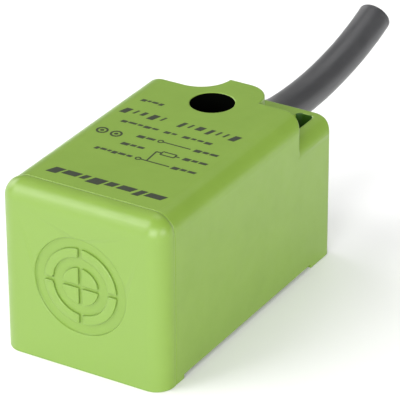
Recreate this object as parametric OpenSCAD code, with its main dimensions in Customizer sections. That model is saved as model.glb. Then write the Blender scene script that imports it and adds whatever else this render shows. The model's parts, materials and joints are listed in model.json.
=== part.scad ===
// Rectangular inductive proximity sensor, 17 mm square, with one vertical
// fixing hole and a short round cable.
// Frame: +Z up, sensing face towards -Y, origin at the bottom centre of the case.

/* [Case] */
// Width of the case, left to right
case_w = 17; // [16.5:0.1:18]
// Height of the case, feet to top face
case_h = 17; // [16.8:0.1:18]
// Length of the case, sensing face to rear face
case_l = 30.6; // [30:0.1:33]
// Radius of the two long top edges
long_edge_r = 2; // [1:0.1:2.4]
// Radius of the front edges of the cap
front_edge_r = 1.8; // [0.8:0.1:2]
// Thickness of the case walls
wall = 1.3; // [1:0.05:1.4]
// Depth of the separate front cap
cap_depth = 2.2; // [2:0.1:2.6]
// Length of the full-height part, from the sensing face
tall_l = 24.8; // [24.5:0.1:25.2]

/* [Feet] */
// Height that the underside is raised between its two feet
foot_h = 0.4; // [0.2:0.05:0.5]
// Length of the front foot
front_foot_l = 3.6; // [3:0.1:4]
// Length of the rear foot
rear_foot_l = 3.9; // [3:0.1:4.5]

/* [Fixing hole] */
// Diameter of the fixing hole, for an M4 screw
hole_d = 4.2; // [4:0.05:4.4]
// Distance of the hole's centre from the sensing face
hole_y = 22.8; // [22.5:0.1:23]

/* [Rear of the case] */
// How far the tab round the hole stands behind the full-height part
tab_l = 3.1; // [2.6:0.1:3.4]
// Left side of the tab
tab_left = -1.05; // [-1.4:0.05:-0.8]
// Right side of the tab
tab_right = 3.75; // [3.4:0.05:4.2]
// Radius of the tab's right corner
tab_r = 2.6; // [1.5:0.1:3]
// Radius of the hollow that leads into the tab's left side
scallop_r = 3.2; // [2:0.1:3.4]
// Height of the low cable end behind the full-height part
low_h = 14.3; // [14:0.1:14.6]
// Left side of the low cable end
low_left = -4; // [-4.4:0.1:-3.8]
// Radius of the low cable end's right top edge
low_edge_r = 1.9; // [1:0.1:2]

/* [Indicator window] */
// Width of the window pocket
window_w = 1.65; // [1.4:0.05:1.8]
// Right side of the window pocket
window_right = 6.85; // [6.6:0.05:6.95]
// Radius of the pocket's rear corners
window_r = 0.5; // [0.2:0.1:0.7]
// Depth of the window pocket below the low top
window_depth = 1.9; // [1.5:0.1:2]

/* [Target mark] */
// Radius of the shallow recess in the sensing face
mark_r = 4.75; // [4:0.05:5]
// Depth of the recess
mark_depth = 0.22; // [0.1:0.02:0.3]
// Outer radius of the raised ring
ring_r = 3.75; // [3.4:0.05:4]
// Radial width of the raised ring
ring_w = 0.9; // [0.6:0.05:1.1]
// Radius of the raised centre
centre_r = 1.85; // [1.4:0.05:2.2]
// Width of the cross-shaped gap
gap_w = 0.36; // [0.2:0.02:0.6]

/* [Coil and core] */
// Diameter of the ferrite cup
core_d = 12; // [11:0.1:12.2]
// Length of the ferrite cup
core_l = 4.5; // [4:0.1:4.8]
// Diameter of the ferrite cup's centre post
post_d = 5.2; // [4.6:0.1:5.6]

/* [Board] */
// Height of the board's underside
board_z = 8; // [7.6:0.1:8.2]
// Thickness of the board
board_t = 0.8; // [0.6:0.1:0.9]

/* [Cable] */
// Diameter of the cable jacket
cable_d = 3.4; // [3.2:0.05:3.5]
// Diameter of each insulated core
core_wire_d = 1; // [0.9:0.05:1.05]

/* [Hidden] */

$fn = 64;
eps = 0.01;
// Clearance of a piece that is pushed into another
fit_gap = 0.05;

lime = [0.62, 0.78, 0.36];
front_y = -case_l / 2;
cap_y = front_y + cap_depth;
tall_y = front_y + tall_l;
tab_y = tall_y + tab_l;
rear_y = case_l / 2;
hole_at = front_y + hole_y;
side_x = case_w / 2;
rear_corner_r = 1;

// The main cavity, and the passage beside the fixing hole that leads to the cable
cavity_x = side_x - wall;
cavity_floor = foot_h + 1;
cavity_top = case_h - wall;
cavity_end = 4;
passage_left = 3.2;
passage_split = 4.7;
passage_floor = 7;
passage_top = 13.4;
passage_low_top = 11.6;
chamber_left = -2.9;
chamber_front = 10.7;
chamber_rear = rear_y - 1.4;
mark_z = 8.6;

// The base cover and the opening that it closes
cover_w = 12;
cover_front = -8;
cover_rear = 3;

// The cap's skirt, which slides into the housing's mouth
skirt_l = 1.6;
skirt_t = 0.85;
face_t = 1;
core_front = front_y + face_t + 0.1;
core_rear = core_front + core_l;
core_back_t = 1.1;
core_wall_t = 0.6;
groove_l = core_l - core_back_t;
bobbin_flange_t = 0.3;
bobbin_r = core_d / 2 - core_wall_t - 0.2;
bobbin_sleeve_r = post_d / 2 + 0.6;
lead_x = 4.6;
lead_d = 0.26;

board_top = board_z + board_t;
lead_z = board_top + lead_d / 2;
holder_t = 1.2;
board_front = core_rear + 0.3;
board_half_w = 6.3;
tongue_left = 3.6;
tongue_right = 6.8;
tongue_rear = 13.4;
pad_y = 1.2;
coil_pad_y = core_rear + 2.36;

window_front = tall_y + 1.7;
window_rear = rear_y - 0.75;
pipe_front = window_front + 0.3;
pipe_rear = window_rear - 0.8;
window_floor = low_h - window_depth;

// Centre line of the cable, from inside the clamp ring to its cut end
cable_points = [[-0.5, 12.5, 11.1], [-0.5, 13.9, 11.1], [-0.5, 15.3, 11.1], [-0.5, 16.89, 10.91],
    [-0.51, 18.54, 10.51], [-0.5, 20.2, 10.2], [-0.47, 21.83, 10.06], [-0.44, 23.46, 10],
    [-0.4, 25.1, 10], [-0.37, 26.76, 10.06], [-0.34, 28.44, 10.19], [-0.3, 30.1, 10.4],
    [-0.24, 31.75, 10.7], [-0.16, 33.39, 11.07], [-0.1, 35, 11.5], [-0.06, 36.57, 11.98],
    [-0.02, 38.1, 12.51], [0, 39.6, 13.1]];
cable_end_y = 12.5;

// Centre lines of the three insulated cores, from the jacket to their pads
brown_points = [[-0.5, 12.4, 11.8], [-0.5, 12, 11.85], [0, 11.6, 12.3], [1.5, 11.42, 12.6],
    [2.9, 11.4, 12.7], [3.75, 10.85, 12.75], [3.97, 9.8, 12.75], [3.97, 7, 12.75],
    [3.97, 4.6, 12.7], [4.5, 3.2, 12], [5.15, 2.2, 10.4], [5.2, 1.2, 9.65]];
black_points = [[0.05, 12.4, 10.7], [0.05, 12, 10.75], [0.6, 11.6, 11.1], [1.8, 11.42, 11.4],
    [2.9, 11.4, 11.5], [3.75, 10.85, 11.55], [3.97, 9.8, 11.55], [3.97, 7, 11.55],
    [3.97, 4.6, 11.5], [3.8, 3.2, 10.9], [3.6, 2.2, 10.1], [3.6, 1.2, 9.65]];
blue_points = [[-1.15, 12.4, 10.7], [-1.15, 12, 10.6], [-0.7, 11.6, 9.9], [0.8, 11.42, 9.7],
    [2.9, 11.4, 10], [3.75, 10.85, 10.15], [3.97, 9.8, 10.2], [3.97, 7, 10.15],
    [3.95, 4.6, 9.8], [3.2, 3.2, 9.7], [2.3, 2.2, 9.65], [2, 1.2, 9.65]];

// ---- Helpers ----

// A box given by its lowest and highest corners
module span(low, high) {
    translate(low) cube(high - low);
}

// A flat outline in X and Z, drawn out along Y from y0 to y1
module along_y(y0, y1) {
    translate([0, y1, 0]) rotate([90, 0, 0]) linear_extrude(y1 - y0) children();
}

// A round bar along Y
module y_rod(d, y0, y1, x, z) {
    translate([x, y0, z]) rotate([-90, 0, 0]) cylinder(d = d, h = y1 - y0);
}

// A rectangle in X and Z with its top corners rounded
module arch(left, right, bottom, top, left_r, right_r) {
    middle = (left + right) / 2;
    translate([left, bottom]) square([middle - left, top - bottom - left_r]);
    translate([middle - eps, bottom]) square([right - middle + eps, top - bottom - right_r]);
    translate([left + left_r, bottom]) square([right - left - left_r - right_r, top - bottom]);
    translate([left + left_r, top - left_r]) circle(r = left_r);
    translate([right - right_r, top - right_r]) circle(r = right_r);
}

// A rectangle in plan whose two rear corners are rounded
module plan_block(left, right, front, rear, r) {
    translate([left, front]) square([right - left, rear - front - r]);
    translate([left + r, front]) square([right - left - 2 * r, rear - front]);
    for (x = [left + r, right - r]) translate([x, rear - r]) circle(r = r);
}

// One point of a smooth curve through four points, at t from 0 to 1
function curve_at(a, b, c, d, t) = 0.5 * (2 * b + (c - a) * t
    + (2 * a - 5 * b + 4 * c - d) * t * t + (3 * b - a - 3 * c + d) * t * t * t);

// A finer list of points along a smooth curve through p, with n steps a span
function smooth(p, n) = [for (i = [0 : len(p) - 2]) for (k = [0 : n - 1])
    curve_at(p[max(i - 1, 0)], p[i], p[i + 1], p[min(i + 2, len(p) - 1)], k / n), p[len(p) - 1]];

function unit(v) = v / norm(v);

// A tube of radius r swept along points p, as one closed polyhedron
module tube(p, r, sides) {
    last = len(p) - 1;
    dirs = [for (i = [0 : last]) unit(p[min(i + 1, last)] - p[max(i - 1, 0)])];
    rings = [for (i = [0 : last])
        let (u = unit(cross(dirs[i], abs(dirs[i][2]) > 0.9 ? [0, 1, 0] : [0, 0, 1])),
            v = cross(dirs[i], u))
        for (k = [0 : sides - 1])
            p[i] + r * (cos(360 * k / sides) * u + sin(360 * k / sides) * v)];
    side_faces = [for (i = [0 : last - 1]) for (k = [0 : sides - 1])
        let (a = i * sides + k, b = i * sides + (k + 1) % sides)
        [a, a + sides, b + sides, b]];
    polyhedron(rings, concat(side_faces, [[for (k = [0 : sides - 1]) k]],
        [[for (k = [sides - 1 : -1 : 0]) last * sides + k]]));
}

// ---- Case ----

module case_arch() {
    arch(-side_x, side_x, 0, case_h, long_edge_r, long_edge_r);
}

// Plan outline of the full-height part, with the tab round the fixing hole
module tall_plan() {
    plan_block(-side_x, side_x, cap_y, tall_y, rear_corner_r);
    translate([tab_left, 0]) square([tab_right - tab_r - tab_left, tab_y]);
    translate([tab_left, 0]) square([tab_right - tab_left, tab_y - tab_r]);
    translate([tab_right - tab_r, tab_y - tab_r]) circle(r = tab_r);
    difference() {
        translate([tab_left - scallop_r, 0]) square([scallop_r + eps, tall_y + scallop_r]);
        translate([tab_left - scallop_r, tall_y + scallop_r]) circle(r = scallop_r);
    }
}

module case_block() {
    intersection() {
        along_y(cap_y, tab_y) case_arch();
        linear_extrude(case_h) tall_plan();
    }
    intersection() {
        along_y(0, rear_y) arch(low_left, side_x, 0, low_h, rear_corner_r, low_edge_r);
        linear_extrude(low_h) plan_block(low_left, side_x, 0, rear_y, rear_corner_r);
    }
}

// The hollow for the coil and the board, and the way to the cable
module case_cavity() {
    along_y(cap_y - eps, cavity_end)
        arch(-cavity_x, cavity_x, cavity_floor, cavity_top, long_edge_r - wall / 2,
            long_edge_r - wall / 2);
    span([passage_left, cavity_end - eps, passage_floor],
        [passage_split, chamber_rear, passage_top]);
    span([passage_split - eps, cavity_end - eps, passage_floor],
        [cavity_x, chamber_rear, passage_low_top]);
    span([chamber_left, chamber_front, passage_floor],
        [passage_left + eps, chamber_rear, passage_top]);
}

module housing() {
    color(lime) difference() {
        case_block();
        case_cavity();
        translate([0, hole_at, -eps]) cylinder(d = hole_d, h = case_h + 2 * eps);
        y_rod(cable_d + 2 * fit_gap, chamber_rear - eps, rear_y + eps,
            cable_points[1][0], cable_points[1][2]);
        span([-side_x - eps, front_y + front_foot_l, -eps],
            [side_x + eps, rear_y - rear_foot_l, foot_h]);
        span([-cover_w / 2, cover_front, 0], [cover_w / 2, cover_rear, cavity_floor + eps]);
        translate([0, 0, window_floor]) linear_extrude(window_depth + eps)
            plan_block(window_right - window_w, window_right, window_front, window_rear, window_r);
        span([window_right - window_w, pipe_front, passage_low_top - eps],
            [window_right, pipe_rear, low_h]);
    }
}

// The raised ring and centre of the target mark, split by the cross-shaped gap
module mark_relief() {
    difference() {
        union() {
            difference() {
                circle(r = ring_r);
                circle(r = ring_r - ring_w);
            }
            circle(r = centre_r);
        }
        for (size = [[gap_w, 2 * mark_r], [2 * mark_r, gap_w]]) square(size, center = true);
    }
}

module front_cap() {
    color(lime) {
        difference() {
            intersection() {
                along_y(front_y, cap_y) case_arch();
                translate([-side_x, 0, 0]) rotate([90, 0, 90]) linear_extrude(case_w) {
                    translate([front_y, 0]) square([cap_depth, case_h - front_edge_r]);
                    translate([front_y + front_edge_r, 0])
                        square([cap_depth - front_edge_r, case_h]);
                    translate([front_y + front_edge_r, case_h - front_edge_r])
                        circle(r = front_edge_r);
                }
                linear_extrude(case_h) mirror([0, 1])
                    plan_block(-side_x, side_x, -cap_y, -front_y, front_edge_r);
            }
            along_y(front_y + face_t, cap_y + eps)
                arch(-cavity_x + skirt_t + fit_gap, cavity_x - skirt_t - fit_gap,
                    cavity_floor + skirt_t, cavity_top - skirt_t, eps, eps);
            y_rod(2 * mark_r, front_y - eps, front_y + mark_depth, 0, mark_z);
        }
        along_y(front_y, front_y + mark_depth + eps) translate([0, mark_z]) mark_relief();
        along_y(cap_y - eps, cap_y + skirt_l) difference() {
            arch(-cavity_x + fit_gap, cavity_x - fit_gap, cavity_floor + fit_gap,
                cavity_top - fit_gap, long_edge_r - wall / 2, long_edge_r - wall / 2);
            arch(-cavity_x + skirt_t + fit_gap, cavity_x - skirt_t - fit_gap,
                cavity_floor + skirt_t, cavity_top - skirt_t, eps, eps);
        }
    }
}

module base_cover() {
    color(lime) span([-cover_w / 2 + fit_gap, cover_front + fit_gap, foot_h],
        [cover_w / 2 - fit_gap, cover_rear - fit_gap, cavity_floor]);
}

// The resin poured over the base cover, below the board
module potting_resin() {
    resin_top = 4.6;
    color([0.16, 0.16, 0.17]) span([-cavity_x + fit_gap, cover_front, cavity_floor + fit_gap],
        [cavity_x - fit_gap, cavity_end - fit_gap, resin_top]);
}

// ---- Coil and core ----

module ferrite_core() {
    lead_hole_d = 1;
    color([0.2, 0.2, 0.22]) difference() {
        y_rod(core_d, core_front, core_rear, 0, mark_z);
        difference() {
            y_rod(core_d - 2 * core_wall_t, core_front - eps, core_front + groove_l, 0, mark_z);
            y_rod(post_d, core_front - 2 * eps, core_front + groove_l + eps, 0, mark_z);
        }
        for (x = [-lead_x, lead_x]) y_rod(lead_hole_d, core_front, core_rear + eps, x, lead_z);
    }
}

module coil_bobbin() {
    bobbin_front = core_front + 0.1;
    bobbin_rear = core_front + groove_l - 0.1;
    color([0.93, 0.9, 0.82]) difference() {
        union() {
            y_rod(2 * bobbin_sleeve_r, bobbin_front, bobbin_rear, 0, mark_z);
            y_rod(2 * bobbin_r, bobbin_front, bobbin_front + bobbin_flange_t, 0, mark_z);
            y_rod(2 * bobbin_r, bobbin_rear - bobbin_flange_t, bobbin_rear, 0, mark_z);
        }
        y_rod(post_d + 2 * fit_gap, core_front, core_rear, 0, mark_z);
        for (x = [-lead_x, lead_x]) y_rod(0.6, bobbin_rear - 1, core_rear, x, lead_z);
    }
}

module sensing_coil() {
    coil_front = core_front + 0.1 + bobbin_flange_t + fit_gap;
    coil_rear = core_front + groove_l - 0.1 - bobbin_flange_t - fit_gap;
    color([0.72, 0.36, 0.16]) difference() {
        y_rod(2 * bobbin_r - 0.3, coil_front, coil_rear, 0, mark_z);
        y_rod(2 * bobbin_sleeve_r + 2 * fit_gap, coil_front - eps, coil_rear + eps, 0, mark_z);
    }
}

module coil_lead_wires() {
    lead_front = core_front + groove_l - 0.1 - bobbin_flange_t;
    lead_rear = core_rear + 1.9;
    color([0.78, 0.42, 0.2]) for (x = [-lead_x, lead_x])
        y_rod(lead_d, lead_front, lead_rear, x, lead_z);
}

// The plate behind the core, slotted to take the board's front edge
module core_holder() {
    slot_h = 1.4;
    side_gap = 0.3;
    color([0.9, 0.88, 0.8]) difference() {
        along_y(core_rear + fit_gap, core_rear + holder_t)
            arch(-cavity_x + side_gap, cavity_x - side_gap, cavity_floor + side_gap,
                cavity_top - side_gap, long_edge_r - wall / 2, long_edge_r - wall / 2);
        span([-board_half_w - fit_gap, core_rear, board_z - fit_gap],
            [board_half_w + fit_gap, core_rear + holder_t + eps, board_z + slot_h]);
    }
}

// ---- Board and its parts ----

// The board, with the tongue that carries the indicator past the fixing hole
module circuit_board() {
    tongue_front = cavity_end - 1;
    color([0.1, 0.36, 0.2]) translate([0, 0, board_z]) linear_extrude(board_t) {
        translate([-board_half_w, board_front])
            square([2 * board_half_w, cavity_end - 0.3 - board_front]);
        translate([tongue_left, tongue_front])
            square([tongue_right - tongue_left, tongue_rear - tongue_front]);
    }
}

// A chip package on the board with leads along its two long sides
module leaded_chip(x, y, body, leads, pitch, lead_w) {
    lead_reach = 0.6;
    lead_t = 0.2;
    translate([x, y, board_top]) {
        translate([-body[0] / 2, -body[1] / 2, lead_t / 2]) cube(body);
        for (side = [-1, 1]) for (i = [0 : leads - 1])
            translate([(i - (leads - 1) / 2) * pitch - lead_w / 2,
                side > 0 ? body[1] / 2 - eps : -body[1] / 2 - lead_reach, 0])
                cube([lead_w, lead_reach + eps, lead_t]);
    }
}

module oscillator_ic() {
    color([0.12, 0.12, 0.13]) leaded_chip(-2.2, -3.6, [4.9, 3.6, 1.4], 4, 1.27, 0.42);
}

module output_transistor() {
    color([0.13, 0.13, 0.14]) leaded_chip(3.6, -2.6, [2.9, 1.5, 1.1], 2, 1.9, 0.42);
}

module tantalum_capacitor() {
    color([0.85, 0.62, 0.15]) span([-5.9, -0.4, board_top], [-2.4, 2.4, board_top + 1.9]);
}

// A cylindrical diode lying on the board, with a metal cap at each end
module barrel_diode(x, y, z) {
    barrel_d = 1.5;
    y_rod(barrel_d, y - 1.75, y + 1.75, x, z + barrel_d / 2);
}

module reverse_diode() {
    color([0.75, 0.3, 0.2]) barrel_diode(-0.9, 1.5, board_top);
}

module surge_diode() {
    color([0.2, 0.2, 0.22]) span([1.4, -5, board_z - 1.9], [4, -0.6, board_z]);
}

// A group of small blocks on the board's top
module chips(places, size) {
    for (p = places) translate([p[0], p[1], board_top]) cube(size);
}

module ceramic_capacitors() {
    color([0.78, 0.66, 0.5]) chips([for (i = [0 : 3]) [0.9 + 1.3 * i, -6.6]], [0.8, 1.6, 0.8]);
}

module chip_resistors() {
    color([0.1, 0.1, 0.1]) {
        chips([for (i = [0 : 3]) [-5.9, -6.6 + 1.2 * i]], [1.2, 0.8, 0.45]);
        chips([for (i = [0 : 1]) [1.6 + 2.2 * i, -0.6]], [1.6, 0.8, 0.45]);
    }
}

module indicator_led() {
    led_h = 1.5;
    color([0.85, 0.2, 0.16]) span([window_right - window_w, pipe_front + 0.1, board_top],
        [tongue_right - 0.1, tongue_rear - 0.1, board_top + led_h]);
}

// The clear insert that closes the window pocket and carries the light up
module light_pipe() {
    pipe_bottom = 10.6;
    color([0.6, 0.1, 0.08]) span(
        [window_right - window_w + fit_gap, pipe_front + fit_gap, pipe_bottom],
        [window_right - fit_gap, pipe_rear - fit_gap, window_floor]);
}

// Solder on the three cable pads and the two coil pads
module solder_joints() {
    joint_h = 0.3;
    color([0.78, 0.79, 0.8]) {
        for (x = [2, 3.6, 5.2]) translate([x, pad_y, board_top])
            cylinder(d = 1.1, h = joint_h);
        for (x = [-lead_x, lead_x]) translate([x, coil_pad_y, board_top])
            cylinder(d = 0.9, h = joint_h);
    }
}

// ---- Cable ----

module cable_clamp_ring() {
    ring_front = cable_end_y + 0.1;
    ring_rear = chamber_rear - 0.1;
    color([0.72, 0.73, 0.75]) difference() {
        y_rod(4.2, ring_front, ring_rear, cable_points[0][0], cable_points[0][2]);
        y_rod(cable_d + fit_gap, ring_front - eps, ring_rear + eps,
            cable_points[0][0], cable_points[0][2]);
    }
}

module brown_core() {
    color([0.42, 0.24, 0.12]) tube(smooth(brown_points, 2), core_wire_d / 2, 8);
}

module black_core() {
    color([0.08, 0.08, 0.08]) tube(smooth(black_points, 2), core_wire_d / 2, 8);
}

module blue_core() {
    color([0.1, 0.25, 0.62]) tube(smooth(blue_points, 2), core_wire_d / 2, 8);
}

module cable_jacket() {
    color([0.28, 0.28, 0.3]) tube(cable_points, cable_d / 2, 8);
}

housing();
front_cap();
base_cover();
potting_resin();
ferrite_core();
coil_bobbin();
sensing_coil();
coil_lead_wires();
core_holder();
circuit_board();
oscillator_ic();
output_transistor();
tantalum_capacitor();
reverse_diode();
surge_diode();
ceramic_capacitors();
chip_resistors();
indicator_led();
light_pipe();
solder_joints();
cable_clamp_ring();
brown_core();
black_core();
blue_core();
cable_jacket();
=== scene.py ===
# %% [markdown]
# # A square proximity sensor in lime green plastic
#
# This lesson dresses an engineering model of a small inductive proximity sensor. The engineering
# model fixes every size and place. Here it is loaded as a frame, and each step adds a finer piece
# or a finish to it: the cable, the moulded case, the cap with its target mark, the print, and the
# parts sealed inside.

# %% Load the frame
import bpy
import bmesh
import json
import math
from mathutils import Matrix, Vector


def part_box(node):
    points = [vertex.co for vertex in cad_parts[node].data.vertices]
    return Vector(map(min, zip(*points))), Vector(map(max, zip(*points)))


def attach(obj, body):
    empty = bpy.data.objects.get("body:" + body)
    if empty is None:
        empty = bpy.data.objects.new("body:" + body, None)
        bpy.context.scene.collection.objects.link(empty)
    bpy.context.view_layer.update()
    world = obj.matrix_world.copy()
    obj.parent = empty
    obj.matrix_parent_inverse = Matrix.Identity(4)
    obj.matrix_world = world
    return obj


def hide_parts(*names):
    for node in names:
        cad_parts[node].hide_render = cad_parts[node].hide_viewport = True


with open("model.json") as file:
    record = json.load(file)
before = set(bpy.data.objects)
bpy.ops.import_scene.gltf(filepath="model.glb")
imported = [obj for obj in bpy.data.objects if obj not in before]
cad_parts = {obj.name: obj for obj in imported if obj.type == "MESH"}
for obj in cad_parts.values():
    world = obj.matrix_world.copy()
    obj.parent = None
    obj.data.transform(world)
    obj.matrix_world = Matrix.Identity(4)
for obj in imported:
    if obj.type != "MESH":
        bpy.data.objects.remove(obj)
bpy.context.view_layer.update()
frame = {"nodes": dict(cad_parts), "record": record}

nodes = frame["nodes"]
print("frame loaded:", len(nodes), "nodes")

# %% [markdown]
# ## Lengths in millimetres
#
# The frame is in metres, and the sensor is only 31 mm long, so most lengths are written in
# millimetres and turned into metres by one small helper.

# %% Millimetre helpers
MM = 0.001


def mm(*values):
    """A point or a length given in millimetres, in metres."""
    return values[0] * MM if len(values) == 1 else Vector(values) * MM


case_low, case_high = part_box("housing")
front_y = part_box("front_cap")[0].y
parting_y = case_low.y
side_x = case_high.x
top_z = case_high.z
rear_y = case_high.y
print("case", [round(v / MM, 2) for v in (2 * side_x, rear_y - front_y, top_z)], "mm")

# %% [markdown]
# ## The camera
#
# The sensor is seen from its front right, from above, through a long lens. A long lens keeps the
# long edges almost parallel, which suits a small object. The camera is built from three axes: the
# way it looks, its right, and its up, tilted by a fraction of a degree.

# %% Place the camera
eye = Vector((0.12533, -0.20319, 0.13692))
aim = Vector((0.00512, -0.0033, 0.01314))
roll = math.radians(-0.302)

ahead = (aim - eye).normalized()
level = ahead.cross(Vector((0, 0, 1))).normalized()
upright = level.cross(ahead)
cam_right = level * math.cos(roll) + upright * math.sin(roll)
cam_up = upright * math.cos(roll) - level * math.sin(roll)

camera = bpy.data.objects.new("camera", bpy.data.cameras.new("camera"))
camera.data.lens = 266.5
camera.data.sensor_width = 36
camera.data.clip_start = 0.01
camera.matrix_world = (
    Matrix.Translation(eye) @ Matrix((cam_right, cam_up, -ahead)).transposed().to_4x4()
)
bpy.context.scene.collection.objects.link(camera)
bpy.context.scene.camera = camera
print("camera", round((aim - eye).length / MM), "mm from the sensor")

# %% [markdown]
# ## Small tools for meshes
#
# Every new piece is a bmesh that becomes an object, rides on the sensor's one body, and gets a
# finish. The first helper does that. The second puts a smooth shade on a mesh and lets a Bevel
# modifier break its sharp edges, because no moulded edge is perfectly sharp: the thin bright line
# on each edge is most of what makes plastic look real. A Weighted Normal modifier then keeps the
# large flat faces evenly lit, because the smooth shade would otherwise bleed into them.

# %% Mesh helpers
def piece(name, bm, finish, stands_for=()):
    """The object made from bm, riding on the sensor, with one finish or a list of them."""
    bmesh.ops.recalc_face_normals(bm, faces=bm.faces)
    mesh = bpy.data.meshes.new(name)
    bm.to_mesh(mesh)
    bm.free()
    made = bpy.data.objects.new(name, mesh)
    bpy.context.scene.collection.objects.link(made)
    for one in finish if isinstance(finish, list) else [finish]:
        mesh.materials.append(one)
    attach(made, "root")
    if stands_for:
        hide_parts(*stands_for)
    print(name, len(mesh.polygons), "faces")
    return made


def soften(made, width, segments=2, angle=35):
    """Rounds the sharp edges of a piece and shades the rest smooth."""
    made.data.shade_smooth()
    bevel = made.modifiers.new("edges", "BEVEL")
    bevel.width = width
    bevel.segments = segments
    bevel.limit_method = "ANGLE"
    bevel.angle_limit = math.radians(angle)
    bevel.use_clamp_overlap = False
    level_faces = made.modifiers.new("normals", "WEIGHTED_NORMAL")
    level_faces.mode = "FACE_AREA"
    level_faces.weight = 60
    return made


# %% [markdown]
# ## Small tools for finishes
#
# Each finish is a node tree around one Principled shader. The helpers below add a node, feed it
# with the object's own coordinates, and build the three things most of these finishes share: a
# colour that drifts a little, a roughness that drifts a little, and a fine bump.

# %% Finish helpers
def add(tree, kind, inputs=None, **settings):
    """A new node with its settings and its inputs, each a value or another node's output."""
    node = tree.nodes.new(kind)
    for key, value in settings.items():
        setattr(node, key, value)
    for key, value in (inputs or {}).items():
        if isinstance(value, bpy.types.NodeSocket):
            tree.links.new(value, node.inputs[key])
        else:
            node.inputs[key].default_value = value
    return node


def shader(name):
    """A new finish: its tree, its Principled shader, and the object's own coordinates."""
    made = bpy.data.materials.new(name)
    made.use_nodes = True
    tree = made.node_tree
    principled = tree.nodes["Principled BSDF"]
    place = add(tree, "ShaderNodeTexCoord").outputs["Object"]
    return made, tree, principled, place


def noise(tree, place, scale, detail=3.0, rough=0.5):
    """A noise value, with features about one over scale in size."""
    return add(
        tree,
        "ShaderNodeTexNoise",
        {"Vector": place, "Scale": scale, "Detail": detail, "Roughness": rough},
    ).outputs["Fac"]


def spread(tree, value, low, high, near=0.3, far=0.7):
    """value from near to far, stretched to run from low to high."""
    return add(
        tree,
        "ShaderNodeMapRange",
        {"Value": value, "From Min": near, "From Max": far, "To Min": low, "To Max": high},
    ).outputs["Result"]


def blend(tree, amount, first, second):
    """The first colour where amount is 0 and the second where it is 1."""
    mixer = add(tree, "ShaderNodeMix", data_type="RGBA")
    for socket, value in ((0, amount), (6, first), (7, second)):
        if isinstance(value, bpy.types.NodeSocket):
            tree.links.new(value, mixer.inputs[socket])
        else:
            mixer.inputs[socket].default_value = value
    return mixer.outputs[2]


def rgb(red, green, blue):
    """A colour given as the display shows it, from 0 to 255, as light."""
    return tuple(((v / 255 + 0.055) / 1.055) ** 2.4 for v in (red, green, blue)) + (1.0,)


def bump(tree, principled, height, strength, distance):
    """Puts a bump of that height pattern on the shader."""
    node = add(
        tree,
        "ShaderNodeBump",
        {"Height": height, "Strength": strength, "Distance": distance},
    )
    tree.links.new(node.outputs["Normal"], principled.inputs["Normal"])


def plastic(name, light, dark, rough=(0.3, 0.4), grain=0.12, grain_scale=9000, drift=260):
    """A moulded plastic: two close shades that drift, a drifting gloss, and a fine grain."""
    made, tree, principled, place = shader(name)
    shade = spread(tree, noise(tree, place, drift, 4), 0, 1)
    tree.links.new(blend(tree, shade, light, dark), principled.inputs["Base Color"])
    gloss = spread(tree, noise(tree, place, drift * 3, 3), *rough)
    tree.links.new(gloss, principled.inputs["Roughness"])
    bump(tree, principled, noise(tree, place, grain_scale, 2), grain, 0.00002)
    return made


def metal(name, light, dark, rough, scale=2500):
    """A metal with two drifting tones and a drifting polish."""
    made, tree, principled, place = shader(name)
    cloud = noise(tree, place, scale, 3)
    tone = blend(tree, spread(tree, cloud, 0, 1), light, dark)
    tree.links.new(tone, principled.inputs["Base Color"])
    tree.links.new(spread(tree, cloud, *rough), principled.inputs["Roughness"])
    principled.inputs["Metallic"].default_value = 1.0
    bump(tree, principled, noise(tree, place, 9000, 2), 0.1, 0.00001)
    return made


# %% [markdown]
# ## The cable
#
# A round vinyl cable leaves the rear of the case, dips a little and rises to its cut end. It is a
# curve with a round section, because a cable is the same all along. Its points are those of the
# engineering model, joined with smooth handles, and the last one stops a little short to leave
# room for the cut rim.

# %% Cable finish
def cable_finish():
    """Dark grey vinyl: faint lengthwise drag lines, a soft sheen, small scuffs."""
    made, tree, principled, place = shader("cable_vinyl")
    along = add(tree, "ShaderNodeMapping", {"Vector": place, "Scale": (1.0, 0.06, 1.0)})
    lines = noise(tree, along.outputs["Vector"], 2600, 3)
    cloud = noise(tree, place, 500, 4)
    scuff = spread(tree, noise(tree, place, 1800, 5, 0.65), 0, 0.35, 0.6, 0.75)
    base = blend(tree, spread(tree, cloud, 0, 1), rgb(39, 39, 42), rgb(47, 47, 49))
    worn = blend(tree, scuff, base, rgb(66, 66, 69))
    tree.links.new(worn, principled.inputs["Base Color"])
    tree.links.new(spread(tree, cloud, 0.36, 0.46), principled.inputs["Roughness"])
    principled.inputs["Specular IOR Level"].default_value = 0.8
    principled.inputs["Sheen Weight"].default_value = 0.2
    principled.inputs["Sheen Roughness"].default_value = 0.35
    bump(tree, principled, lines, 0.25, 0.00003)
    return made


vinyl = cable_finish()

# %% Cable along its route
cable_d = mm(3.4)
cable_route = [
    mm(-0.5, 12.5, 11.1),
    mm(-0.5, 13.9, 11.1),
    mm(-0.5, 15.3, 11.1),
    mm(-0.5, 16.89, 10.91),
    mm(-0.51, 18.54, 10.51),
    mm(-0.5, 20.2, 10.2),
    mm(-0.47, 21.83, 10.06),
    mm(-0.44, 23.46, 10.0),
    mm(-0.4, 25.1, 10.0),
    mm(-0.37, 26.76, 10.06),
    mm(-0.34, 28.44, 10.19),
    mm(-0.3, 30.1, 10.4),
    mm(-0.24, 31.75, 10.7),
    mm(-0.16, 33.39, 11.07),
    mm(-0.1, 35.0, 11.5),
    mm(-0.06, 36.57, 11.98),
    mm(-0.02, 38.1, 12.51),
    mm(0.0, 39.3, 12.98),
]
line = bpy.data.curves.new("cable_sheath", "CURVE")
line.dimensions = "3D"
line.resolution_u = 6
line.bevel_depth = cable_d / 2
line.bevel_resolution = 10
line.use_fill_caps = True
spline = line.splines.new("BEZIER")
spline.bezier_points.add(len(cable_route) - 1)
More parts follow.
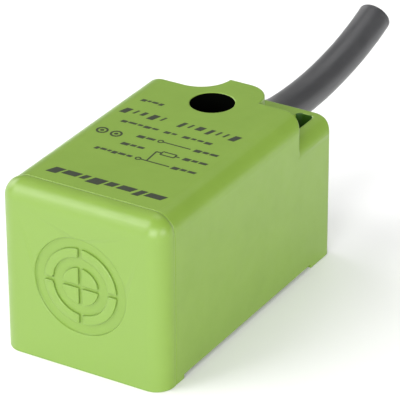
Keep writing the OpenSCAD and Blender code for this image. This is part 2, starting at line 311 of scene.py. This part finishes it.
for knot, point in zip(spline.bezier_points, cable_route):
    knot.co = point
    knot.handle_left_type = knot.handle_right_type = "AUTO"
line.materials.append(vinyl)
cable = bpy.data.objects.new("cable_sheath", line)
bpy.context.scene.collection.objects.link(cable)
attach(cable, "root")
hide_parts("cable_jacket")
print("cable through", len(cable_route), "points")

# %% [markdown]
# ## The cut end of the cable
#
# The short cable ends cut square. Behind the sheath's rim lie three insulated wires, each with a
# small bundle of copper strands. The pieces are made standing at the origin, and then one matrix
# turns them along the cable's last stretch.

# %% Cut end helpers
end_way = (cable_route[-1] - cable_route[-2]).normalized()
end_way = (end_way + Vector((0, 0, 0.05))).normalized()
end_turn = end_way.to_track_quat("Z", "Y").to_matrix().to_4x4()
end_place = Matrix.Translation(cable_route[-1]) @ end_turn
collar_h = mm(0.35)


def rod(bm, radius, low, high, x=0.0, y=0.0, sides=24):
    """An upright round bar in bm, closed at both ends."""
    bmesh.ops.create_cone(
        bm,
        cap_ends=True,
        segments=sides,
        radius1=radius,
        radius2=radius,
        depth=high - low,
        matrix=Matrix.Translation((x, y, (low + high) / 2)),
    )


def ring_wall(bm, outer, inner, low, high, sides=48):
    """An upright round ring in bm."""
    base = bmesh.ops.create_circle(bm, segments=sides, radius=outer)["verts"]
    hole = bmesh.ops.create_circle(bm, segments=sides, radius=inner)["verts"]
    edges = {e for v in base + hole for e in v.link_edges}
    flat = bmesh.ops.bridge_loops(bm, edges=list(edges))["faces"]
    bmesh.ops.translate(bm, verts=base + hole, vec=(0, 0, low))
    lifted = bmesh.ops.extrude_face_region(bm, geom=flat, use_keep_orig=True)["geom"]
    bmesh.ops.translate(
        bm,
        verts=[v for v in lifted if isinstance(v, bmesh.types.BMVert)],
        vec=(0, 0, high - low),
    )


# %% Rim, wires and strands
rim = bmesh.new()
ring_wall(rim, cable_d / 2, mm(1.18), -mm(0.2), collar_h)
bmesh.ops.transform(rim, matrix=end_place, verts=rim.verts)
cable_rim = soften(piece("cable_cut_rim", rim, vinyl), mm(0.08))

wire_finishes = {
    "brown": plastic("wire_brown", rgb(104, 62, 34), rgb(92, 52, 28), (0.4, 0.5)),
    "black": plastic("wire_black", rgb(30, 30, 32), rgb(22, 22, 24), (0.4, 0.5)),
    "blue": plastic("wire_blue", rgb(28, 74, 160), rgb(22, 62, 140), (0.4, 0.5)),
}
wire_ring = mm(0.6)
for step, (colour, finish) in enumerate(wire_finishes.items()):
    turn = math.radians(90 + 120 * step)
    x, y = wire_ring * math.cos(turn), wire_ring * math.sin(turn)
    wire = bmesh.new()
    rod(wire, mm(0.5), -mm(0.2), collar_h + mm(0.06), x, y)
    bmesh.ops.transform(wire, matrix=end_place, verts=wire.verts)
    end = soften(piece(colour + "_wire_end", wire, finish), mm(0.04))

copper = metal("copper_strand", rgb(205, 128, 84), rgb(170, 98, 60), (0.25, 0.4), 3000)
strands = bmesh.new()
for step in range(3):
    turn = math.radians(90 + 120 * step)
    middle = Vector((wire_ring * math.cos(turn), wire_ring * math.sin(turn)))
    rod(strands, mm(0.1), 0, collar_h + mm(0.14), middle.x, middle.y, 10)
    for spoke in range(6):
        way = math.radians(60 * spoke)
        x = middle.x + mm(0.2) * math.cos(way)
        y = middle.y + mm(0.2) * math.sin(way)
        rod(strands, mm(0.1), 0, collar_h + mm(0.12), x, y, 10)
bmesh.ops.transform(strands, matrix=end_place, verts=strands.verts)
piece("copper_strands", strands, copper)

# %% [markdown]
# ## The lime plastic
#
# The case is moulded in one saturated lime green. Most of what changes from face to face is the
# light: a satin surface mirrors a pale room at a low angle and looks greyer there. The finish has
# slow colour drift from the moulding, a drifting gloss, and a fine spark-eroded grain.

# %% Lime finish
lime_light, lime_dark = rgb(118, 149, 51), rgb(114, 145, 47)
lime = plastic("lime_moulding", lime_light, lime_dark, (0.28, 0.36), 0.2)
lime.node_tree.nodes["Principled BSDF"].inputs["Specular IOR Level"].default_value = 0.55


def cap_finish_with_painted_reflection():
    """The lime finish, with a painted reflection that turns it paler and greyer towards the
    sensing face.
    """
    made = plastic("lime_cap_with_painted_reflection", lime_light, lime_dark, (0.3, 0.38), 0.3, 7000)
    tree = made.node_tree
    principled = tree.nodes["Principled BSDF"]
    principled.inputs["Specular IOR Level"].default_value = 0.55
    body = principled.inputs["Base Color"].links[0].from_socket
    place = tree.nodes["Texture Coordinate"].outputs["Object"]
    depth = add(tree, "ShaderNodeSeparateXYZ", {"Vector": place}).outputs["Y"]
    # Painted reflection: within 1.5 mm of the front the base colour blends into a paler, greyer
    # lime.
    reflection_amount = spread(tree, depth, 1, 0, front_y, front_y + mm(1.5))
    painted_pale_reflection = blend(tree, reflection_amount, body, rgb(119, 149, 65))
    tree.links.new(painted_pale_reflection, principled.inputs["Base Color"])
    return made


cap_lime_painted_reflection = cap_finish_with_painted_reflection()
# Painted shade: near-black for the fixing hole's wall and dark green for the window pocket's
# walls, in place of the shade inside them.
bore_painted_shade = plastic("bore_wall_painted_shadow", rgb(5, 7, 4), rgb(2, 3, 2), (0.8, 1.0), 0.1)
bore_painted_shade.node_tree.nodes["Principled BSDF"].inputs["Specular IOR Level"].default_value = 0.0
pocket_painted_shade = plastic("pocket_wall_painted_shade", rgb(44, 84, 10), rgb(38, 76, 8), (0.4, 0.5), 0.2)

# %% [markdown]
# ## The case
#
# The housing's shape is already right in the engineering model, with its tab, its hollow, the low
# cable end and the window pocket. A copy of its mesh is merged and cleaned of flat triangles, and
# its sharp edges are then rounded. The walls of the fixing hole and the window pocket get painted
# shade, near-black and dark green, for the little light that comes out of such narrow openings.

# %% Case from the engineering shape
def clean_copy(name):
    """A merged copy of a CAD node's mesh, with its flat triangles joined."""
    bm = bmesh.new()
    bm.from_mesh(nodes[name].data)
    bmesh.ops.remove_doubles(bm, verts=bm.verts, dist=1e-6)
    bmesh.ops.dissolve_limit(
        bm, angle_limit=math.radians(0.5), verts=bm.verts, edges=bm.edges
    )
    return bm


hole_y = frame["record"]["mounts"][0]["pos_m"][1]
hole_r = frame["record"]["mounts"][0]["dims"]["r_mm"] * MM
pocket_low = mm(5.15, 12.9, 12.0)
pocket_high = Vector((mm(6.9), rear_y - mm(0.7), mm(14.2)))
shell = clean_copy("housing")
for face in shell.faces:
    middle = face.calc_center_median()
    off = math.hypot(middle.x, middle.y - hole_y)
    # Faces of the hole's wall and faces inside the pocket's box take the painted shade finishes.
    if off < hole_r * 1.02 and abs(face.normal.z) < 0.5:
        face.material_index = 1
    if all(a < v < b for a, v, b in zip(pocket_low, middle, pocket_high)):
        face.material_index = 2
case = piece("case_moulding", shell, [lime, bore_painted_shade, pocket_painted_shade], ["housing"])
soften(case, mm(0.12), 3, 30)

# %% [markdown]
# ## The cap
#
# The cap is a separate moulding that closes the front of the case. Its front edges are rounded
# by one radius and its long top edges meet the case's slightly larger one, so the bevelled block
# has its rear arcs eased out to match. The sensing face carries a shallow round recess, and the
# parting line to the case is only the two small edge rounds that meet there.

# %% Cap block
cap_r = mm(1.8)
long_r = mm(2.0)
cap_l = parting_y - front_y
cap = bmesh.new()
bmesh.ops.create_cube(cap, size=1.0)
bmesh.ops.scale(cap, vec=(2 * side_x, cap_l, top_z), verts=cap.verts)
bmesh.ops.translate(cap, vec=(0, front_y + cap_l / 2, top_z / 2), verts=cap.verts)


def middle_of(edge):
    """The point half way along an edge."""
    return (edge.verts[0].co + edge.verts[1].co) / 2


rounded = []
for edge in cap.edges:
    middle = middle_of(edge)
    at_front = abs(middle.y - front_y) < mm(0.01)
    at_rear = abs(middle.y - parting_y) < mm(0.01)
    at_top = abs(middle.z - top_z) < mm(0.01)
    at_bottom = abs(middle.z) < mm(0.01)
    if (at_front and not at_bottom) or (at_top and not at_rear):
        rounded.append(edge)
bmesh.ops.bevel(
    cap,
    geom=rounded,
    offset=cap_r,
    segments=12,
    profile=0.5,
    affect="EDGES",
    material=-1,
)
for vert in cap.verts:
    x, z = abs(vert.co.x) - (side_x - cap_r), vert.co.z - (top_z - cap_r)
    if abs(vert.co.y - parting_y) < mm(0.001) and x > -mm(0.001) and z > -mm(0.001):
        turn = math.atan2(z, x)
        across = side_x - long_r + long_r * math.cos(turn)
        vert.co.x = math.copysign(across, vert.co.x)
        vert.co.z = top_z - long_r + long_r * math.sin(turn)
print("cap block", len(cap.faces), "faces")

# %% [markdown]
# ## A round hole in a flat face
#
# To sink the recess, the flat front face is taken away, a circle is drawn in its plane, and the
# space between the two outlines is filled again. The circle's edge is then drawn inwards and
# closed. The same steps open the back of the cap for the coil.

# %% Recess and hollow
mark_z = mm(8.6)
mark_r = mm(4.75)
mark_depth = mm(0.22)


def open_face(bm, y, ring):
    """Fills the flat face at y again, between its outline and a ring of edges."""
    flat = max(
        (f for f in bm.faces if abs(f.calc_center_median().y - y) < mm(0.01)),
        key=lambda f: f.calc_area(),
    )
    outline = list(flat.edges)
    bmesh.ops.delete(bm, geom=[flat], context="FACES_ONLY")
    bmesh.ops.triangle_fill(bm, edges=outline + ring, use_beauty=True)


def sink(bm, ring, depth):
    """Draws a ring of edges along Y by depth and closes its far end."""
    drawn = bmesh.ops.extrude_edge_only(bm, edges=ring)["geom"]
    bmesh.ops.translate(
        bm, verts=[v for v in drawn if isinstance(v, bmesh.types.BMVert)], vec=(0, depth, 0)
    )
    bmesh.ops.contextual_create(bm, geom=[e for e in drawn if isinstance(e, bmesh.types.BMEdge)])


facing = Matrix.Rotation(math.radians(90), 4, "X")
circle = bmesh.ops.create_circle(
    cap,
    segments=96,
    radius=mark_r,
    matrix=Matrix.Translation((0, front_y, mark_z)) @ facing,
)["verts"]
circle_edges = list({e for v in circle for e in v.link_edges})
open_face(cap, front_y, circle_edges)
sink(cap, circle_edges, mark_depth)

eighth_turn = Matrix.Rotation(math.pi / 4, 4, "Z")
hollow = bmesh.ops.create_circle(
    cap,
    segments=4,
    radius=mm(6.3) * math.sqrt(2),
    matrix=Matrix.Translation((0, parting_y, mark_z)) @ facing @ eighth_turn,
)["verts"]
hollow_edges = list({e for v in hollow for e in v.link_edges})
open_face(cap, parting_y, hollow_edges)
sink(cap, hollow_edges, front_y + mm(1.0) - parting_y)
print("cap opened", len(cap.faces), "faces")

# %% [markdown]
# ## The target mark
#
# The mark shows where the coil sits: a raised ring and a raised centre, both split by a cross.
# One quarter of each is cut from a disc or a ring with two planes, given its height, and turned
# four times. The pads end flush with the sensing face.

# %% Target mark pads
gap = mm(0.36)


def quarter_pad(target, outer, inner, quarter):
    """One quarter of a flat ring or disc, standing on the floor of the recess."""
    pad = bmesh.new()
    bmesh.ops.create_circle(pad, segments=72, radius=outer, cap_ends=inner == 0)
    if inner:
        bmesh.ops.create_circle(pad, segments=72, radius=inner)
        bmesh.ops.bridge_loops(pad, edges=list(pad.edges))
    for keep in ((-1, 0, 0), (0, -1, 0)):
        bmesh.ops.bisect_plane(
            pad,
            geom=pad.verts[:] + pad.edges[:] + pad.faces[:],
            plane_co=(gap / 2, gap / 2, 0),
            plane_no=keep,
            clear_outer=True,
        )
    lifted = bmesh.ops.extrude_face_region(pad, geom=pad.faces[:], use_keep_orig=True)["geom"]
    bmesh.ops.translate(
        pad,
        verts=[v for v in lifted if isinstance(v, bmesh.types.BMVert)],
        vec=(0, 0, mark_depth + mm(0.02)),
    )
    turned = (
        Matrix.Translation((0, front_y + mark_depth + mm(0.02), mark_z))
        @ facing
        @ Matrix.Rotation(math.radians(90 * quarter), 4, "Z")
    )
    bmesh.ops.transform(pad, matrix=turned, verts=pad.verts)
    step = bpy.data.meshes.new("pad")
    pad.to_mesh(step)
    pad.free()
    target.from_mesh(step)
    bpy.data.meshes.remove(step)


for quarter in range(4):
    quarter_pad(cap, mm(3.75), mm(2.85), quarter)
    quarter_pad(cap, mm(1.85), 0, quarter)

# %% [markdown]
# ## The cap's skirt
#
# Behind the parting line a thin skirt slides into the mouth of the case and is glued there. It is
# a short square sleeve: a block whose two ends are inset and bridged into a tunnel.

# %% Skirt and the finished cap
skirt = bmesh.new()
bmesh.ops.create_cube(skirt, size=1.0)
skirt_low, skirt_high = mm(-7.15, -13.1, 1.45), mm(7.15, -11.5, 15.65)
bmesh.ops.scale(skirt, vec=skirt_high - skirt_low, verts=skirt.verts)
bmesh.ops.translate(skirt, vec=(skirt_low + skirt_high) / 2, verts=skirt.verts)
ends = [f for f in skirt.faces if abs(f.normal.y) > 0.9]
bmesh.ops.inset_region(skirt, faces=ends, thickness=mm(0.85))
tunnel = [e for f in ends for e in f.edges]
bmesh.ops.delete(skirt, geom=ends, context="FACES_ONLY")
bmesh.ops.bridge_loops(skirt, edges=tunnel)
step = bpy.data.meshes.new("skirt")
skirt.to_mesh(step)
skirt.free()
cap.from_mesh(step)
bpy.data.meshes.remove(step)
# The cap's finish carries a painted reflection that pales it towards the sensing face.
cap_piece = piece("sensing_cap", cap, cap_lime_painted_reflection, ["front_cap"])
soften(cap_piece, mm(0.09), 2, 30)

# %% [markdown]
# ## The print on top
#
# The top face carries dark pad print: a bold name band near the cap, a small wiring diagram and a
# type line. The diagram's lines, terminals and load are drawn. Words are only suggested, by rows
# of small slanted blocks, so that nothing can be read. The ink is a real layer, about a hundredth
# of a millimetre thick.

# %% Ink finish and strokes
def ink_finish():
    """Dark grey-green ink that lets a little lime through where it is thin."""
    made, tree, principled, place = shader("pad_print_ink")
    thin = spread(tree, noise(tree, place, 5000, 4, 0.6), 0, 1, 0.45, 0.8)
    tone = blend(tree, thin, rgb(32, 38, 24), rgb(58, 70, 36))
    tree.links.new(tone, principled.inputs["Base Color"])
    tree.links.new(spread(tree, thin, 0.45, 0.6, 0, 1), principled.inputs["Roughness"])
    bump(tree, principled, noise(tree, place, 9000, 2), 0.1, 0.00001)
    return made


ink = ink_finish()
ink_h = mm(0.012)
prints = bmesh.new()


def stroke(start, end, width):
    """A printed line between two points of the top face, given in millimetres."""
    a, b = mm(start[0], start[1], 0), mm(end[0], end[1], 0)
    turn = Matrix.Rotation(math.atan2(b.y - a.y, b.x - a.x), 4, "Z")
    size = Matrix.Diagonal(((b - a).length, mm(width), ink_h, 1))
    place = Matrix.Translation((a + b) / 2 + Vector((0, 0, top_z + ink_h / 2)))
    bmesh.ops.create_cube(prints, size=1.0, matrix=place @ turn @ size)


def loop(corners, width):
    """A closed printed outline through corners given in millimetres."""
    for a, b in zip(corners, corners[1:] + corners[:1]):
        stroke(a, b, width)


def terminal(x, y, radius, width):
    """A small printed circle."""
    count = 14
    loop(
        [
            (
                x + radius * math.cos(2 * math.pi * k / count),
                y + radius * math.sin(2 * math.pi * k / count),
            )
            for k in range(count)
        ],
        width,
    )


# %% Bands of blocks in place of words
def block(x, y, width, height, lean):
    """A printed solid block whose sides lean, centred on a point given in millimetres."""
    shape = (
        (mm(width), mm(lean * height), 0, mm(x)),
        (0, mm(height), 0, mm(y)),
        (0, 0, ink_h, top_z + ink_h / 2),
        (0, 0, 0, 1),
    )
    bmesh.ops.create_cube(prints, size=1.0, matrix=Matrix(shape))


def band(x0, x1, y, height, widths, gap=0.16, lean=0.3, low=0.72):
    """A row of leaning blocks between x0 and x1; a negative width leaves a space.

    Every third block is full height and the others are lower, so that the row has the uneven
    top of a printed word.
    """
    total = sum(abs(w) for w in widths) + gap * (len(widths) - 1)
    scale = (x1 - x0) / total
    x = x0
    for count, w in enumerate(widths):
        tall = height if count % 3 == 0 else height * low
        if w > 0:
            block(x + w * scale / 2, y + (height - tall) / 2, w * scale, tall, lean)
        x += (abs(w) + gap) * scale


fine = 0.15
band(-5.5, 6.1, -11.1, 1.1, [0.9, 1.3, 0.5, 1.2, 0.8, 1.3, 0.6, 1.5], 0.28, 0.45)
mixed = [0.5, 0.16, 0.3, 0.5, 0.16, -0.5, 0.3, 0.16, 0.5, 0.3, 0.16, 0.16, 0.5]
band(-6.3, 5.9, 2.1, 1.05, mixed, 0.4)
band(-5.2, 4.3, 0.1, 0.42, [0.5, 0.7, 0.4, 0.6, 0.5, -0.3, 0.5, 0.4, -0.3, 0.6, 0.4, 0.5, 0.6])
band(-5.9, -3.6, 4.7, 0.45, [0.5, 0.3, 0.6, 0.4])
for y in (-1.7, -3.6, -5.55):
    band(3.6, 6.0, y, 0.5, [0.6, 0.5, 0.7])
band(-2.3, -0.5, -1.8, 0.48, [0.6, 0.7])
band(-2.8, -0.5, -3.7, 0.48, [0.7, 0.5, 0.6])
band(-4.4, -0.6, -5.6, 0.48, [0.4, 0.6, 0.3, 0.5, 0.7, 0.5])

# %% Wiring diagram
stroke((3.2, -1.7), (0.35, -1.7), fine)
stroke((3.3, -5.55), (0.35, -5.55), fine)
terminal(0.08, -1.7, 0.24, fine)
terminal(0.08, -5.55, 0.24, fine)
loop([(1.35, -3.9), (2.75, -3.9), (2.75, -3.3), (1.35, -3.3)], fine)
stroke((2.75, -3.6), (3.2, -3.6), fine)
stroke((1.35, -3.6), (0.8, -3.6), fine)
stroke((0.8, -3.6), (0.95, -5.5), fine)
for x in (-4.2, -5.7):
    terminal(x, -2.4, 0.5, 0.2)
    terminal(x, -2.4, 0.1, 0.2)
piece("top_print", prints, ink)

# %% [markdown]
# ## The parts sealed inside
#
# The engineering shapes of the inner parts stay as they are and only get finishes. Chips and
# chip-like parts have tinned ends, so their colour changes past a given distance from their
# middle. The winding is banded by its turns, with painted shade in the grooves between them, and
# the board's tracks show under its green mask.

# %% Finishes for the sealed parts
def dress(finish, *names):
    """Puts one finish on parts of the engineering model."""
    for name in names:
        slots = nodes[name].data.materials
        slots.clear()
        slots.append(finish)


def with_ends(name, light, dark, axis, middle, half, end=rgb(196, 198, 200)):
    """A body whose ends, past half from middle along one axis, are of another tone."""
    made = plastic(name, light, dark, (0.4, 0.5))
    tree = made.node_tree
    principled = tree.nodes["Principled BSDF"]
    body = principled.inputs["Base Color"].links[0].from_socket
    place = tree.nodes["Texture Coordinate"].outputs["Object"]
    along = add(tree, "ShaderNodeSeparateXYZ", {"Vector": place}).outputs[axis]
    off = add(tree, "ShaderNodeMath", {0: along, 1: middle}, operation="SUBTRACT").outputs[0]
    far = add(tree, "ShaderNodeMath", {0: off}, operation="ABSOLUTE").outputs[0]
    past = add(tree, "ShaderNodeMath", {0: far, 1: half}, operation="GREATER_THAN").outputs[0]
    tree.links.new(blend(tree, past, body, end), principled.inputs["Base Color"])
    return made


def turns_with_painted_shade(name, light, dark, pitch, rough):
    """Turns of wire side by side along Y: rounded bands one pitch apart, with painted shade
    darkening the grooves between them.
    """
    made, tree, principled, place = shader(name)
    turns = add(
        tree,
        "ShaderNodeTexWave",
        {"Vector": place, "Scale": 2 * math.pi / (20 * pitch), "Distortion": 0.4},
        bands_direction="Y",
    ).outputs["Fac"]
    # Painted shade: the dark colour falls in the grooves between the turns.
    tree.links.new(blend(tree, turns, dark, light), principled.inputs["Base Color"])
    tree.links.new(spread(tree, turns, *rough, 0, 1), principled.inputs["Roughness"])
    bump(tree, principled, turns, 0.6, pitch / 4)
    return made


def board_mask():
    """Green mask over tracks: a rectangular net of lighter lines, slightly raised."""
    made, tree, principled, place = shader("board_mask")
    net = add(
        tree,
        "ShaderNodeTexBrick",
        {"Vector": place, "Scale": 400.0, "Mortar Size": 0.03},
        offset=0.4,
    ).outputs["Fac"]
    tone = blend(tree, net, rgb(24, 92, 48), rgb(52, 128, 66))
    tree.links.new(tone, principled.inputs["Base Color"])
    gloss = spread(tree, noise(tree, place, 900), 0.25, 0.35)
    tree.links.new(gloss, principled.inputs["Roughness"])
    bump(tree, principled, net, 0.3, 0.00002)
    return made


# %% Finishes in place
epoxy = (rgb(34, 34, 36), rgb(26, 26, 28))
nylon = plastic("natural_nylon", rgb(226, 218, 196), rgb(214, 204, 180), (0.4, 0.5))
enamel = metal("enamelled_copper", rgb(190, 104, 52), rgb(158, 80, 38), (0.25, 0.35))
dress(lime, "base_cover")
resin = plastic("casting_resin", rgb(36, 36, 38), rgb(28, 28, 30), (0.2, 0.35), 0.3, 2000)
dress(resin, "potting_resin")
ferrite = plastic("sintered_ferrite", rgb(64, 64, 67), rgb(50, 50, 53), (0.5, 0.7), 0.5, 6000)
dress(ferrite, "ferrite_core")
dress(nylon, "coil_bobbin", "core_holder")
winding = turns_with_painted_shade("copper_winding", rgb(196, 106, 52), rgb(110, 52, 24), mm(0.2), (0.5, 0.25))
dress(winding, "sensing_coil")
dress(enamel, "coil_lead_wires")
dress(board_mask(), "circuit_board")
dress(with_ends("oscillator_epoxy", *epoxy, "Y", mm(-3.6), mm(1.82)), "oscillator_ic")
dress(with_ends("transistor_epoxy", *epoxy, "Y", mm(-2.6), mm(0.77)), "output_transistor")
amber = (rgb(220, 168, 56), rgb(206, 152, 44))
dress(with_ends("tantalum_epoxy", *amber, "Y", mm(1), mm(1.15)), "tantalum_capacitor")
red_glass = (rgb(184, 78, 46), rgb(164, 64, 36))
dress(with_ends("diode_glass", *red_glass, "Y", mm(1.5), mm(1.35)), "reverse_diode")
dress(with_ends("surge_epoxy", *epoxy, "Y", mm(-2.8), mm(1.95)), "surge_diode")
tan = (rgb(204, 178, 138), rgb(190, 162, 122))
dress(with_ends("chip_ceramic", *tan, "Y", mm(-5.8), mm(0.5)), "ceramic_capacitors")
dress(with_ends("resistor_glaze", *epoxy, "X", mm(-5.3), mm(0.4)), "chip_resistors")
dress(plastic("indicator_resin", rgb(214, 40, 30), rgb(196, 30, 24), (0.3, 0.4)), "indicator_led")
dress(plastic("window_resin", rgb(30, 66, 10), rgb(24, 56, 8), (0.15, 0.25)), "light_pipe")
dress(metal("bright_solder", rgb(206, 208, 212), rgb(186, 188, 192), (0.2, 0.35)), "solder_joints")
steel = metal("plated_steel", rgb(186, 187, 190), rgb(164, 165, 168), (0.25, 0.4))
dress(steel, "cable_clamp_ring")
for colour, finish in wire_finishes.items():
    dress(finish, colour + "_core")
print("sealed parts dressed")

# %% [markdown]
# ## The light and the floor
#
# Plain soft studio light: a pale floor and a pale room. A soft box high on the front left draws
# the highlight along the cap's top edge. Wide boxes on the left, in front and on the right light
# the front and the long side evenly. A second one on the left gives the long top edge its sheen,
# and a weak one behind lifts the rear of the top face.

# %% Floor, room and lamps
floor_mesh = bmesh.new()
bmesh.ops.create_grid(floor_mesh, x_segments=1, y_segments=1, size=1.5)
floor_data = bpy.data.meshes.new("floor")
floor_mesh.to_mesh(floor_data)
floor_mesh.free()
floor = bpy.data.objects.new("floor", floor_data)
bpy.context.scene.collection.objects.link(floor)
floor_finish, tree, principled, place = shader("pale_floor")
tone = blend(tree, noise(tree, place, 3, 2), (0.93, 0.93, 0.93, 1), (0.95, 0.95, 0.95, 1))
tree.links.new(tone, principled.inputs["Base Color"])
principled.inputs["Roughness"].default_value = 0.9
principled.inputs["Specular IOR Level"].default_value = 0.1
floor_data.materials.append(floor_finish)

world = bpy.data.worlds.new("room")
bpy.context.scene.world = world
world.use_nodes = True
world.node_tree.nodes["Background"].inputs["Color"].default_value = (1, 1, 1, 1)
world.node_tree.nodes["Background"].inputs["Strength"].default_value = 0.37
bpy.context.scene.view_settings.view_transform = "Standard"


def soft_box(name, way, far, size, watts):
    """A square area lamp that looks at the sensor from that direction."""
    lamp = bpy.data.lights.new(name, "AREA")
    lamp.size = size
    lamp.energy = watts
    holder = bpy.data.objects.new(name, lamp)
    way = Vector(way).normalized()
    holder.location = way * far
    holder.rotation_euler = way.to_track_quat("Z", "Y").to_euler()
    bpy.context.scene.collection.objects.link(holder)


soft_box("key_box", (-0.46, -0.5, 0.75), 0.6, 0.34, 1.6)
soft_box("left_box", (-0.8, -0.9, 0.5), 1.6, 1.0, 6.3)
soft_box("rim_box", (-1, 0.15, 0.5), 1.6, 1.0, 12.3)
soft_box("front_box", (0.36, -0.9, 0.25), 1.6, 1.2, 27.5)
soft_box("side_box", (1, -0.2, 0.15), 1.6, 1.0, 15.0)
soft_box("back_box", (-0.1, 0.5, 1), 1.6, 1.0, 4.2)
